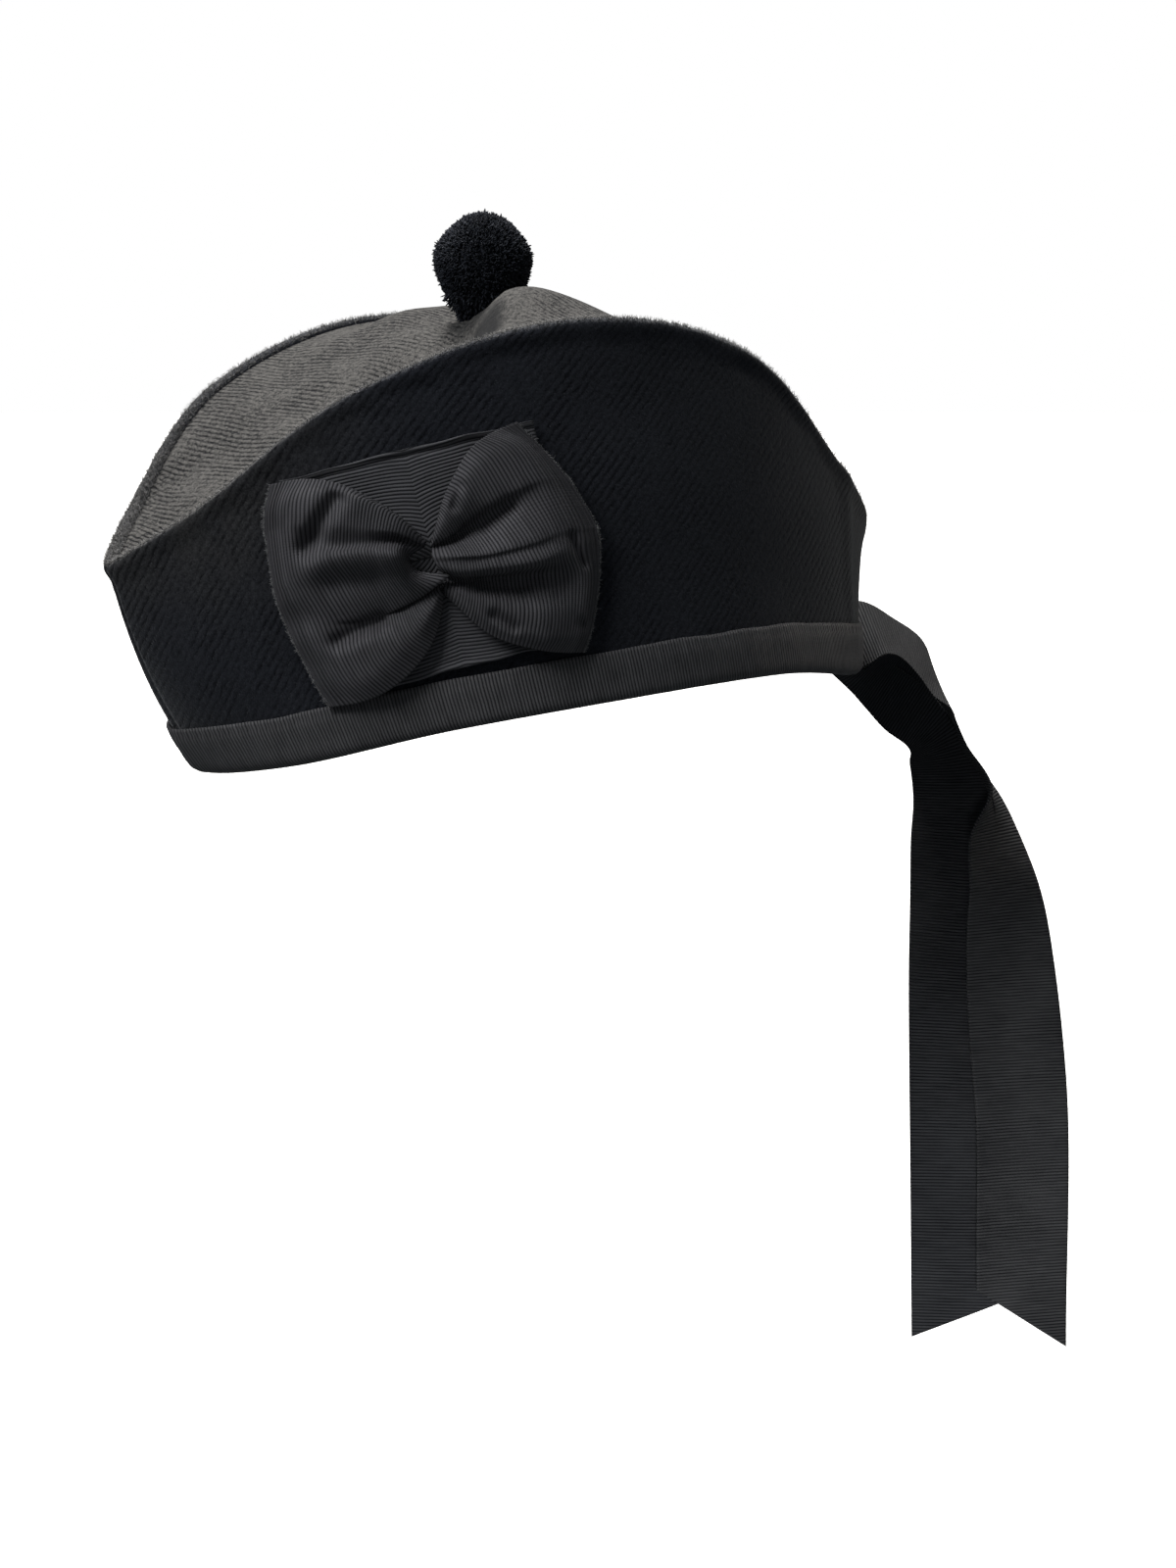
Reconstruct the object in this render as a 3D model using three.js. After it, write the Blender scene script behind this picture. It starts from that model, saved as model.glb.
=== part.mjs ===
// A glengarry: a Scottish wool bonnet that folds fore and aft, in millimetres.
// The front is -Y, the rear +Y, the wearer's left +X and up +Z. The origin is
// the middle of the head opening. The bonnet is pitched as it is worn, front
// down, and its two ribbon tails hang straight down behind it.
import * as THREE from 'three';
import { mergeVertices } from 'three/addons/utils/BufferGeometryUtils.js';

// ---- Driving dimensions --------------------------------------------------

const PITCH = 8; // degrees that the front dips when worn
const CLOTH = 2; // wool side and crown walls
const RIBBON = 1; // thickness of a ribbon
const GAP = 0.5; // clearance between touching pieces
const SEAM = 0.15; // half of the clearance at the front and back seams
const NOSE = 1.4; // extra wall along Y in the pointed front, per mm of inset

// Outline of the bonnet seen from above, at the rim and at the top edge. The
// power shapes the end: over 1 it is pointed, at 1 it is an ellipse.
const RIM = { front: -101, rear: 101.5, half: 74, frontPower: 1.25, rearPower: 0.95 };
const TOP = { front: -120.5, rear: 115, half: 61, frontPower: 1.6, rearPower: 1.15 };
// How far the front seam bows out between rim and top, and the turn by which
// the sides have no more of it.
const NOSE_SWELL = 3.5;
const NOSE_SWELL_END = 60;

// Heights around one side, a row for each 30 degrees of turn from the front.
const AROUND = [
  { turn: 0, rim: 1, edge: 62, crease: 4 },
  { turn: 30, rim: 3, edge: 73, crease: 10 },
  { turn: 60, rim: 9, edge: 102, crease: 15 },
  { turn: 90, rim: 10, edge: 113, crease: 4 },
  { turn: 120, rim: 6.5, edge: 97, crease: 12 },
  { turn: 150, rim: -2.5, edge: 52, crease: 8 },
  { turn: 180, rim: -6, edge: 33, crease: 4 },
];
const ROW_TURN = AROUND[1].turn; // the rows are evenly spaced

// Rolled lip along the top edge: distance below the edge, how far it stands
// out and how far in the cloth wall it reaches.
const LIP = [
  { drop: 4.4, out: 0, inward: CLOTH },
  { drop: 3, out: 0.9, inward: CLOTH },
  { drop: 1.2, out: 1.2, inward: CLOTH + 0.4 },
  { drop: 0, out: 0.4, inward: CLOTH - 0.4 },
];
const CROWN_DROP = 3.6; // the crown is sewn in this far below the edge
const CROWN_ENDS = { front: 10, rear: 170 }; // turns where the crown stops

// Crown puffs beside the pompom, one on each side of the centre crease.
const PUFF = { side: 27, along: 3, width: 11, frontReach: 14, rearReach: 19 };
const PUFF_HEIGHT = { left: 13.5, right: 9 };
const PUFF_HEM = 0.85; // share of the half width where a puff starts to fade

const BINDING_HEIGHT = 12.5;
const BINDING_CORNER = 0.6; // the fold's bevel under the rim
const TOORIE = { along: 3.2, base: 110.6, lean: 12, top: 32.2 };
const TOORIE_PROFILE = [
  { height: 0, radius: 4 },
  { height: 3, radius: 6.5 },
  { height: 8, radius: 9.5 },
  { height: 13, radius: 13.2 },
  { height: 18, radius: 14.6 },
  { height: 23, radius: 13.8 },
  { height: 28, radius: 10 },
  { height: 31, radius: 5 },
];

// The cockade sits on the left side: its middle, and the ribbon bow's outline
// as it is read across the bow, in mm from that middle.
const COCKADE = { turn: 64.5, height: 46, mmPerDegree: 1.9 };
const BACKING = { rear: 34, front: -34, low: -31, high: 31 };
const BOW = [
  { across: -41, low: -24, high: 10, rise: 3 },
  { across: -36, low: -33, high: 29, rise: 5 },
  { across: -22, low: -28, high: 27, rise: 8 },
  { across: -8, low: -19, high: 16, rise: 6 },
  { across: 1, low: -9, high: 7, rise: 3.5 },
  { across: 11, low: -21, high: 19, rise: 7 },
  { across: 24, low: -28, high: 29, rise: 8 },
  { across: 36, low: -31, high: 31, rise: 6 },
  { across: 45, low: -22, high: 10, rise: 3 },
];
const BOW_EDGE = 0.35; // share of its rise that the bow keeps along its edges

// Tails: a row for each stretch of ribbon, with the middle of the ribbon, and
// which way its width points: turn from +Y towards +X, and rise above level.
const TAIL_WIDTH = 30;
const TAIL_LEFT = [
  { x: 13.5, y: 100.6, z: 6, turn: 99, rise: 4 },
  { x: 12.5, y: 106.5, z: 5.4, turn: 96, rise: 20 },
  { x: 11.5, y: 113, z: 2.8, turn: 94, rise: 34 },
  { x: 10.5, y: 122, z: -3.5, turn: 88, rise: 38 },
  { x: 12.5, y: 128, z: -12.5, turn: 92, rise: 23 },
  { x: 23.5, y: 136.5, z: -30, turn: 84, rise: 5 },
  { x: 29, y: 145.5, z: -69, turn: 62, rise: 0 },
  { x: 30.5, y: 147.5, z: -127, turn: 35, rise: 0 },
  { x: 30.5, y: 147.5, z: -196, turn: 32, rise: 0 },
];
const TAIL_RIGHT = [
  { x: -0.5, y: 105.2, z: 17, turn: 97, rise: -36 },
  { x: 3.5, y: 112, z: 18, turn: 105, rise: -35 },
  { x: 6, y: 121.5, z: 16.5, turn: 112, rise: -16 },
  { x: 6.5, y: 128, z: 7, turn: 102, rise: 2 },
  { x: 7.5, y: 131.5, z: -6, turn: 97, rise: 8 },
  { x: 7, y: 133.5, z: -16, turn: 94, rise: 8 },
  { x: 4.5, y: 137.5, z: -31, turn: 82, rise: 5 },
  { x: 10.5, y: 137.5, z: -69, turn: 60, rise: 0 },
  { x: 18, y: 135.5, z: -127, turn: 35, rise: 0 },
  { x: 19, y: 136, z: -192, turn: 32, rise: 0 },
];
// Share of the length that the slanted end leaves at each edge of the ribbon.
const TAIL_LEFT_CUT = { left: 0.92, right: 1 };
const TAIL_RIGHT_CUT = { left: 1, right: 0.945 };

// How many facets each surface has along and across it. The sides have theirs
// from the front to the rear, and the binding twice that, all the way round.
const FACETS = {
  side: 36, crownRows: 34, crownColumns: 12, toorieSides: 20, backingRows: 12,
  backingColumns: 5, bowRows: 24, bowColumns: 8, tailRows: 36, tailColumns: 4,
};
const WALL_ROWS = [0, 0.2, 0.4, 0.6, 0.8]; // shares of the height below the lip
const MERGE = 1e-4; // points closer than this are one

// ---- Curves --------------------------------------------------------------

const radians = THREE.MathUtils.degToRad;
const { lerp, smoothstep } = THREE.MathUtils;

// A column of AROUND at any turn: a smooth curve through its rows, level at
// the front and the rear, where the two sides meet.
function around(column, turn) {
  const last = AROUND.length - 1;
  const value = (i) => AROUND[i < 0 ? -i : i > last ? 2 * last - i : i][column];
  const i = Math.min(Math.floor(turn / ROW_TURN), last - 1);
  const f = turn / ROW_TURN - i;
  const [a, b, c, d] = [value(i - 1), value(i), value(i + 1), value(i + 2)];
  const startSlope = (c - a) / 2;
  const endSlope = (d - b) / 2;
  const blend = f * f * (3 - 2 * f);
  const bend = f * (1 - f);
  return b + (c - b) * blend + bend * ((1 - f) * startSlope - f * endSlope);
}

// A point of an outline, inset towards the middle.
function outline(shape, turn, inset) {
  const angle = radians(turn);
  const share = (1 - Math.cos(angle)) / 2;
  const power = lerp(shape.frontPower, shape.rearPower, smoothstep(share, 0, 1));
  const front = shape.front + NOSE * inset;
  const rear = shape.rear - inset;
  const side = Math.max(Math.sin(angle), 0) ** power;
  return { x: (shape.half - inset) * side, y: lerp(front, rear, share) };
}

// A point of the left side wall, at a height above the rim.
function wallPoint(turn, height, inset) {
  const rim = around('rim', turn);
  const share = height / (around('edge', turn) - rim);
  const low = outline(RIM, turn, inset);
  const high = outline(TOP, turn, inset);
  const swell = NOSE_SWELL * 4 * share * (1 - share) * (1 - smoothstep(turn, 0, NOSE_SWELL_END));
  return new THREE.Vector3(
    lerp(low.x, high.x, share), lerp(low.y, high.y, share) - swell, rim + height);
}

// A point at a distance out from the left side, square to the cloth.
function offWall(turn, height, distance) {
  const here = wallPoint(turn, height, 0);
  const onward = wallPoint(turn + 1, height, 0).sub(here);
  const upward = wallPoint(turn, height + 1, 0).sub(here);
  return here.addScaledVector(onward.cross(upward).normalize(), distance);
}

// ---- Meshes --------------------------------------------------------------

const mirrored = (point) => new THREE.Vector3(-point.x, point.y, point.z);

// Rows of points joined into facets; each row and the set may close on itself.
function facets(rows, flip, indices, first, closeRows, closeColumns) {
  const count = rows[0].length;
  const lastRow = closeRows ? rows.length : rows.length - 1;
  const lastColumn = closeColumns ? count : count - 1;
  for (let j = 0; j < lastRow; j++) {
    for (let i = 0; i < lastColumn; i++) {
      const a = first + j * count + i;
      const b = first + j * count + (i + 1) % count;
      const c = first + ((j + 1) % rows.length) * count + (i + 1) % count;
      const d = first + ((j + 1) % rows.length) * count + i;
      indices.push(...(flip ? [a, c, b, a, d, c] : [a, b, c, a, c, d]));
    }
  }
}

function geometryFrom(points, indices) {
  const positions = points.flatMap((p) => [p.x, p.y, p.z]);
  const geometry = new THREE.BufferGeometry();
  geometry.setAttribute('position', new THREE.Float32BufferAttribute(positions, 3));
  geometry.setIndex(indices);
  return outward(mergeVertices(geometry, MERGE));
}

// Turns every facet over where the closed surface would face inwards.
function outward(geometry) {
  const p = geometry.attributes.position;
  const index = geometry.index;
  const corner = (i) => new THREE.Vector3().fromBufferAttribute(p, index.getX(i));
  let volume = 0;
  for (let i = 0; i < index.count; i += 3) {
    volume += corner(i).dot(corner(i + 1).cross(corner(i + 2)));
  }
  if (volume < 0) {
    for (let i = 0; i < index.count; i += 3) {
      const swapped = index.getX(i + 1);
      index.setX(i + 1, index.getX(i + 2));
      index.setX(i + 2, swapped);
    }
  }
  geometry.computeVertexNormals();
  return geometry;
}

// A sheet with thickness: two grids of the same size and the strip between
// their borders.
function slab(outer, inner) {
  const points = [...outer.flat(), ...inner.flat()];
  const indices = [];
  facets(outer, false, indices, 0, false, false);
  facets(inner, true, indices, outer.flat().length, false, false);
  const lastRow = outer.length - 1;
  const lastColumn = outer[0].length - 1;
  const border = (grid) => [
    ...grid[0].slice(0, lastColumn),
    ...grid.slice(0, lastRow).map((row) => row[lastColumn]),
    ...grid[lastRow].slice(1).reverse(),
    ...grid.slice(1).reverse().map((row) => row[0]),
  ];
  const strip = [border(outer), border(inner)];
  const first = points.length;
  points.push(...strip.flat());
  facets(strip, true, indices, first, false, true);
  return geometryFrom(points, indices);
}

// A section carried round a closed loop.
function ring(rows) {
  const indices = [];
  facets(rows, false, indices, 0, true, true);
  return geometryFrom(rows.flat(), indices);
}

const steps = (count) => Array.from({ length: count + 1 }, (_, i) => i / count);

// ---- Pieces --------------------------------------------------------------

// One side of the bonnet: a wool wall from the rim to its rolled top lip.
function sidePanel(place) {
  const column = (turn, out) => {
    const tall = around('edge', turn) - around('rim', turn);
    const below = LIP[0].drop;
    const wall = WALL_ROWS.map((share) => ({
      height: share * (tall - below), inset: out ? 0 : CLOTH }));
    const lip = LIP.map((row) => ({
      height: tall - row.drop, inset: out ? -row.out : row.inward }));
    return [...wall, ...lip].map(({ height, inset }) => {
      const point = wallPoint(turn, height, inset);
      return place(point.setX(point.x + SEAM));
    });
  };
  const turns = steps(FACETS.side).map((share) => 180 * share);
  return slab(turns.map((turn) => column(turn, true)),
    turns.map((turn) => column(turn, false)));
}

// Height of the crown's upper face: it dips from the lips to the centre
// crease and swells in a puff on each side of the pompom.
function crownPoint(turn, across, sink) {
  const tall = around('edge', turn) - around('rim', turn);
  const edge = wallPoint(turn, tall - CROWN_DROP, CLOTH + 2 * GAP);
  const x = across * edge.x;
  const dip = lerp(around('crease', turn), CROWN_DROP, Math.abs(across));
  const reach = edge.y < PUFF.along ? PUFF.frontReach : PUFF.rearReach;
  const height = x > 0 ? PUFF_HEIGHT.left : PUFF_HEIGHT.right;
  const bulge = Math.exp(-0.5 * ((edge.y - PUFF.along) / reach) ** 2
    - 0.5 * ((Math.abs(x) - PUFF.side) / PUFF.width) ** 2);
  const hem = 1 - smoothstep(Math.abs(across), PUFF_HEM, 1);
  const z = around('edge', turn) - dip + height * bulge * hem - sink;
  return new THREE.Vector3(x, edge.y, z);
}

function crown() {
  const grid = (sink) => steps(FACETS.crownRows).map((share) =>
    steps(FACETS.crownColumns).map((column) =>
      crownPoint(lerp(CROWN_ENDS.front, CROWN_ENDS.rear, share), 2 * column - 1, sink)));
  return slab(grid(0), grid(CLOTH));
}

// Ribbon folded over the rim: a U section carried right round it.
function rimBinding() {
  const outside = -GAP - RIBBON;
  const inside = CLOTH + GAP + RIBBON;
  const section = [
    { inset: outside, height: BINDING_HEIGHT },
    { inset: outside, height: -BINDING_CORNER },
    { inset: outside + BINDING_CORNER, height: -GAP - RIBBON },
    { inset: inside - BINDING_CORNER, height: -GAP - RIBBON },
    { inset: inside, height: -BINDING_CORNER },
    { inset: inside, height: BINDING_HEIGHT },
    { inset: CLOTH + GAP, height: BINDING_HEIGHT },
    { inset: CLOTH + GAP, height: -GAP },
    { inset: -GAP, height: -GAP },
    { inset: -GAP, height: BINDING_HEIGHT },
  ];
  const rows = steps(2 * FACETS.side).slice(0, -1).map((share) => {
    const turn = 360 * share;
    const left = turn <= 180;
    return section.map(({ inset, height }) => {
      const point = wallPoint(left ? turn : 360 - turn, height, inset);
      return left ? point : mirrored(point);
    });
  });
  return ring(rows);
}

// Pompom of cut wool, seated in the centre crease.
function toorie() {
  const profile = [
    new THREE.Vector2(0, 0),
    ...TOORIE_PROFILE.map(({ radius, height }) => new THREE.Vector2(radius, height)),
    new THREE.Vector2(0, TOORIE.top),
  ];
  const geometry = new THREE.LatheGeometry(profile, FACETS.toorieSides);
  geometry.rotateX(Math.PI / 2);
  geometry.rotateX(-radians(TOORIE.lean));
  geometry.translate(0, TOORIE.along, TOORIE.base);
  geometry.deleteAttribute('normal');
  geometry.deleteAttribute('uv');
  return outward(mergeVertices(geometry, MERGE));
}

// A point on the cockade: mm across and up from its middle, and off the wool.
const cockadePoint = (across, up, distance) => offWall(
  COCKADE.turn + across / COCKADE.mmPerDegree, COCKADE.height + up, distance);

function cockadeBacking() {
  const grid = (distance) => steps(FACETS.backingRows).map((share) =>
    steps(FACETS.backingColumns).map((row) =>
      cockadePoint(lerp(BACKING.front, BACKING.rear, share),
        lerp(BACKING.low, BACKING.high, row), distance)));
  return slab(grid(GAP + RIBBON), grid(GAP));
}

// The bow: a gathered ribbon, pinched in the middle, as one closed form.
function cockadeBow() {
  const floor = 2 * GAP + RIBBON;
  const route = (column) => new THREE.CatmullRomCurve3(
    BOW.map((row) => new THREE.Vector3(row.across, row[column], row.rise)));
  const lows = route('low');
  const highs = route('high');
  const grid = (risen) => steps(FACETS.bowRows).map((share) => {
    const low = lows.getPoint(share);
    const high = highs.getPoint(share);
    return steps(FACETS.bowColumns).map((row) => {
      const rise = risen ? low.z * lerp(BOW_EDGE, 1, Math.sin(Math.PI * row)) : 0;
      return cockadePoint(low.x, lerp(low.y, high.y, row), floor + rise);
    });
  });
  return slab(grid(true), grid(false));
}

// A hanging ribbon carried along its rows, cut at a slant.
function tail(rows, cut) {
  const middle = new THREE.CatmullRomCurve3(
    rows.map(({ x, y, z }) => new THREE.Vector3(x, y, z)));
  const width = new THREE.CatmullRomCurve3(rows.map(({ turn, rise }) =>
    new THREE.Vector3(Math.sin(radians(turn)) * Math.cos(radians(rise)),
      Math.cos(radians(turn)) * Math.cos(radians(rise)), Math.sin(radians(rise)))));
  const point = (share, column, offset) => {
    const along = middle.getUtoTmapping(share * lerp(cut.left, cut.right, column));
    const sideways = width.getPoint(along).normalize();
    const square = middle.getTangent(along).cross(sideways).normalize();
    return middle.getPoint(along).addScaledVector(sideways, TAIL_WIDTH * (column - 0.5))
      .addScaledVector(square, offset);
  };
  const grid = (offset) => steps(FACETS.tailRows).map((share) =>
    steps(FACETS.tailColumns).map((column) => point(share, column, offset)));
  return slab(grid(RIBBON / 2), grid(-RIBBON / 2));
}

// ---- Assembly ------------------------------------------------------------

const wool = new THREE.MeshStandardMaterial({
  name: 'wool', color: 0x17171a, roughness: 0.95, metalness: 0 });
const crownWool = new THREE.MeshStandardMaterial({
  name: 'crown_wool', color: 0x4a4643, roughness: 0.95, metalness: 0 });
const grosgrain = new THREE.MeshStandardMaterial({
  name: 'grosgrain', color: 0x1c1a1a, roughness: 0.7, metalness: 0 });
const pile = new THREE.MeshStandardMaterial({
  name: 'pile', color: 0x0c0b0c, roughness: 1, metalness: 0 });

function piece(name, geometry, material) {
  const mesh = new THREE.Mesh(geometry, material);
  mesh.name = name;
  return mesh;
}

const bonnet = new THREE.Group();
bonnet.rotation.x = radians(PITCH);
bonnet.add(
  piece('side_panel_left', sidePanel((point) => point), wool),
  piece('side_panel_right', sidePanel(mirrored), wool),
  piece('crown', crown(), crownWool),
  piece('rim_binding', rimBinding(), grosgrain),
  piece('toorie', toorie(), pile),
  piece('cockade_backing', cockadeBacking(), grosgrain),
  piece('cockade_bow', cockadeBow(), grosgrain),
);

const glengarry = new THREE.Group();
glengarry.add(
  bonnet,
  piece('tail_left', tail(TAIL_LEFT, TAIL_LEFT_CUT), grosgrain),
  piece('tail_right', tail(TAIL_RIGHT, TAIL_RIGHT_CUT), grosgrain),
);

export default glengarry;
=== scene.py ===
import bpy
import numpy as np
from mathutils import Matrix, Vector


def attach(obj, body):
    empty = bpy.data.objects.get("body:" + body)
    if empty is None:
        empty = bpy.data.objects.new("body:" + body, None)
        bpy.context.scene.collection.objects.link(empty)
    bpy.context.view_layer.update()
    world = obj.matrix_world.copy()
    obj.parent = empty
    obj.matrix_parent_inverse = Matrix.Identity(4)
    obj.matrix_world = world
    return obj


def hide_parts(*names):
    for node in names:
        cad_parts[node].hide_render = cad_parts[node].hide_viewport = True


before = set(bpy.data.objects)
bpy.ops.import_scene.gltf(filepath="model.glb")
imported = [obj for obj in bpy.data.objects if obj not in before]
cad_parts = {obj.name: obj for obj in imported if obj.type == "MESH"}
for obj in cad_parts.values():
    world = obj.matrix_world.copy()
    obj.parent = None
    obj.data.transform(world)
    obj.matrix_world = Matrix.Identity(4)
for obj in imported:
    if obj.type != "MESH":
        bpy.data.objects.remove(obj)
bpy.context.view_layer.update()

# ---- Side panels ---------------------------------------------------------
# Two walls of milled wool twill, the wearer's left one and its mirror image, seamed
# together at the front and the rear. The top of each is turned over into a soft roll.
MM = 0.001
PITCH = np.radians(8)  # the front dips when the bonnet is worn
CLOTH = 2.0  # thickness of the wool
RIM = {"front": -101.0, "rear": 101.5, "half": 74.0, "front_power": 1.25, "rear_power": 0.95}
TOP = {"front": -120.5, "rear": 115.0, "half": 61.0, "front_power": 1.6, "rear_power": 1.15}
NOSE_INSET = 1.4  # extra wall along Y in the pointed front, for each mm of inset
NOSE_SWELL = 3.5  # how far the front seam bows out between rim and top
NOSE_SWELL_END = 60.0  # the turn by which it has faded
ROW_TURN = 30.0  # heights are given for each 30 degrees of turn from the front
HEIGHTS = {
    "rim": [1, 3, 9, 10, 6.8, -1.4, -4.4],
    "edge": [62, 73, 102, 113, 97, 52, 33],
    "crease": [4, 10, 15, 4, 12, 8, 4],
}
# The roll at the top, as drop below the top edge and inset from the outer face.
ROLL = [
    (9, 0), (7.2, -0.05), (5.8, -0.2), (4.4, -0.5), (3.1, -0.85), (1.9, -1.0), (0.8, -0.75), (0.1, -0.05),
    (0.05, 0.95), (0.6, 1.9), (1.7, 2.55), (3, 2.75), (4.4, 2.4), (5.6, 2.0), (6.8, 2.0), (9, 2.0),
]
# A soft upright fold near the rear, slight waves in the wall, lumps along the roll, and the
# seams with their turnings pressed open inside.
REAR_FOLD = {"turn": 148.0, "width": 2.6, "rise": 0.9, "foot": 20.0}
WALL_WAVES = {"rise": 0.35, "reach": 46.0, "foot": 20.0, "mm_per_degree": 1.3}
ROLL_LUMPS = {"rise": 0.14, "reach": 9.0}
SEAM_DIP = {"depth": 0.8, "width": 1.1}
SEAM_TURNINGS = {"width": 8.0, "rise": 1.1}
SEAM_GAP = 0.02
FULL_TURN = 6.283  # radians


def smooth(x, low, high):
    """0 below low, 1 above high, and a smooth step between them."""
    share = np.clip((x - low) / (high - low), 0, 1)
    return share * share * (3 - 2 * share)


def hump(x, width):
    """A smooth hump of height 1 at 0: e to the minus square of x in widths."""
    return np.exp(-((x / width) ** 2))


def through(knots, values, at):
    """A smooth curve through the values at the knots: a cubic between each pair, with the
    slope at a knot of the parabola through it and its neighbours, and of the chord at an end."""
    knots, values = np.asarray(knots, float), np.asarray(values, float)
    flat = values.reshape(len(knots), -1)
    step = np.diff(knots)[:, None]
    chord = np.diff(flat, axis=0) / step
    middle = (chord[:-1] * step[1:] + chord[1:] * step[:-1]) / (step[:-1] + step[1:])
    slope = np.concatenate([chord[:1], middle, chord[-1:]])
    at = np.asarray(at, float)
    i = np.clip(np.searchsorted(knots, at.ravel(), side="right") - 1, 0, len(knots) - 2)
    f = ((at.ravel() - knots[i]) / step[i, 0])[:, None]
    lean = f * (1 - f) * step[i] * ((1 - f) * (slope[i] - chord[i]) - f * (slope[i + 1] - chord[i]))
    return (flat[i] + (flat[i + 1] - flat[i]) * f + lean).reshape(at.shape + values.shape[1:])


def around(column, turn):
    """A column of heights at any turn, level at the front and rear, where the sides meet."""
    rows = HEIGHTS[column]
    knots = ROW_TURN * np.arange(-1, len(rows) + 1)
    return through(knots, [rows[1], *rows, rows[-2]], turn)


def outline(shape, turn, inset):
    """The bonnet's outline from above, inset: an ellipse whose width is its sine to a power
    that changes from the pointed front to the round rear."""
    angle = np.radians(turn)
    share = (1 - np.cos(angle)) / 2
    power = shape["front_power"] + (shape["rear_power"] - shape["front_power"]) * smooth(share, 0, 1)
    front, rear = shape["front"] + NOSE_INSET * inset, shape["rear"] - inset
    side = (shape["half"] - inset) * np.maximum(np.sin(angle), 0) ** power
    return side, front + (rear - front) * share


def drift(u, v, reach, seed):
    """Soft unevenness between about -1 and 1: the sum of seven seeded sine waves of about
    that reach, each with its own direction and phase."""
    draw = np.random.default_rng(seed)
    total = 0
    for angle, stretch, phase in draw.uniform((0, 0.7, 0), (np.pi, 1.5, 6.3), (7, 3)):
        run = u * np.cos(angle) + v * np.sin(angle)
        total = total + np.sin(FULL_TURN * run / (reach * stretch) + phase)
    return total / 3.5


def wall(turn, height, inset=0.0):
    """A point of the left side at a height above the rim: between the outlines of the rim
    and the top, bowed out at the nose, with a soft upright fold behind and slight waves."""
    turn, height = np.asarray(turn, float), np.asarray(height, float)
    rim = around("rim", turn)
    share = height / (around("edge", turn) - rim)
    upright = hump(turn - REAR_FOLD["turn"], REAR_FOLD["width"])
    fold = REAR_FOLD["rise"] * upright * smooth(height, 0, REAR_FOLD["foot"])
    waves = WALL_WAVES["rise"] * drift(WALL_WAVES["mm_per_degree"] * turn, height, WALL_WAVES["reach"], 3)
    off_seams = smooth(np.sin(np.radians(turn)), 0, 0.3)
    inset = inset - fold - waves * smooth(height, 0, WALL_WAVES["foot"]) * off_seams
    (low_x, low_y), (high_x, high_y) = outline(RIM, turn, inset), outline(TOP, turn, inset)
    swell = NOSE_SWELL * 4 * share * (1 - share) * (1 - smooth(turn, 0, NOSE_SWELL_END))
    return np.stack(np.broadcast_arrays(
        low_x + (high_x - low_x) * share, low_y + (high_y - low_y) * share - swell, rim + height), -1)


def worn(points):
    """Points turned about X by the pitch at which the bonnet is worn."""
    x, y, z = np.moveaxis(points, -1, 0)
    return np.stack([x, y * np.cos(PITCH) - z * np.sin(PITCH), y * np.sin(PITCH) + z * np.cos(PITCH)], -1)


def run_of(points):
    """Length from the first point of each row to every point along it."""
    steps = np.linalg.norm(np.diff(points, axis=0), axis=-1)
    return np.concatenate([0 * steps[:1], np.cumsum(steps, axis=0)])


GIRTH_HEIGHT = 40.0
GIRTH_TURNS = np.linspace(0, 180, 721)
GIRTHS = run_of(wall(GIRTH_TURNS, GIRTH_HEIGHT))


def girth(turn):
    """Length along one side from the front seam to a turn, at the girth's height."""
    return np.interp(turn, GIRTH_TURNS, GIRTHS)


def carried(sections, weave, closed=False):
    """A closed section carried along a path: quads between one section and the next, and a
    strip across each end, unless the path closes on itself. weave holds a cloth coordinate
    for each point, with one more section where the path closes."""
    count, width = sections.shape[:2]
    row, column = np.meshgrid(np.arange(count if closed else count - 1), np.arange(width), indexing="ij")
    across = (column + 1) % width
    ahead = (row + 1) % count
    quads = np.stack([row * width + column, row * width + across,
                      ahead * width + across, ahead * width + column], -1).reshape(-1, 4)
    woven = np.stack([weave[row, column], weave[row, across],
                      weave[row + 1, across], weave[row + 1, column]], -2).reshape(-1, 4, 2)
    if not closed:
        half = np.arange(width // 2 - 1)
        strip = np.stack([half, half + 1, width - 2 - half, width - 1 - half], -1)
        ends = np.concatenate([strip[:, ::-1], strip + (count - 1) * width])
        quads = np.concatenate([quads, ends])
        woven = np.concatenate([woven, weave.reshape(-1, 2)[ends]])
    return sections.reshape(-1, 3), quads, woven


def joined(*parts):
    """Several sets of points, faces and cloth coordinates as one."""
    firsts = np.cumsum([0] + [len(points) for points, _, _ in parts[:-1]])
    return (np.concatenate([points for points, _, _ in parts]),
            np.concatenate([faces + first for (_, faces, _), first in zip(parts, firsts)]),
            np.concatenate([woven for _, _, woven in parts]))


def faces_out(points, quads, woven):
    """The same faces, turned over if the closed surface has a negative volume."""
    a, b, c, d = (points[quads[:, i]] for i in range(4))
    volume = (a * (np.cross(b, c) + np.cross(c, d))).sum()
    return (points, quads, woven) if volume > 0 else (points, quads[:, ::-1], woven[:, ::-1])


def make_piece(name, shape, finish, slot, *nodes):
    """A mesh from points, quads and cloth coordinates in millimetres, riding on the bonnet
    and standing for those CAD nodes."""
    points, quads, woven = faces_out(*shape)
    mesh = bpy.data.meshes.new(name)
    mesh.from_pydata((points * MM).tolist(), [], quads.tolist())
    mesh.uv_layers.new(name="weave").data.foreach_set("uv", (woven * MM).ravel())
    mesh.polygons.foreach_set("use_smooth", np.ones(len(quads), bool))
    mesh.materials.append(finish)
    piece = bpy.data.objects.new(name, mesh)
    bpy.context.scene.collection.objects.link(piece)
    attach(piece, "root")
    if nodes:
        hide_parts(*nodes)
    return piece


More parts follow.
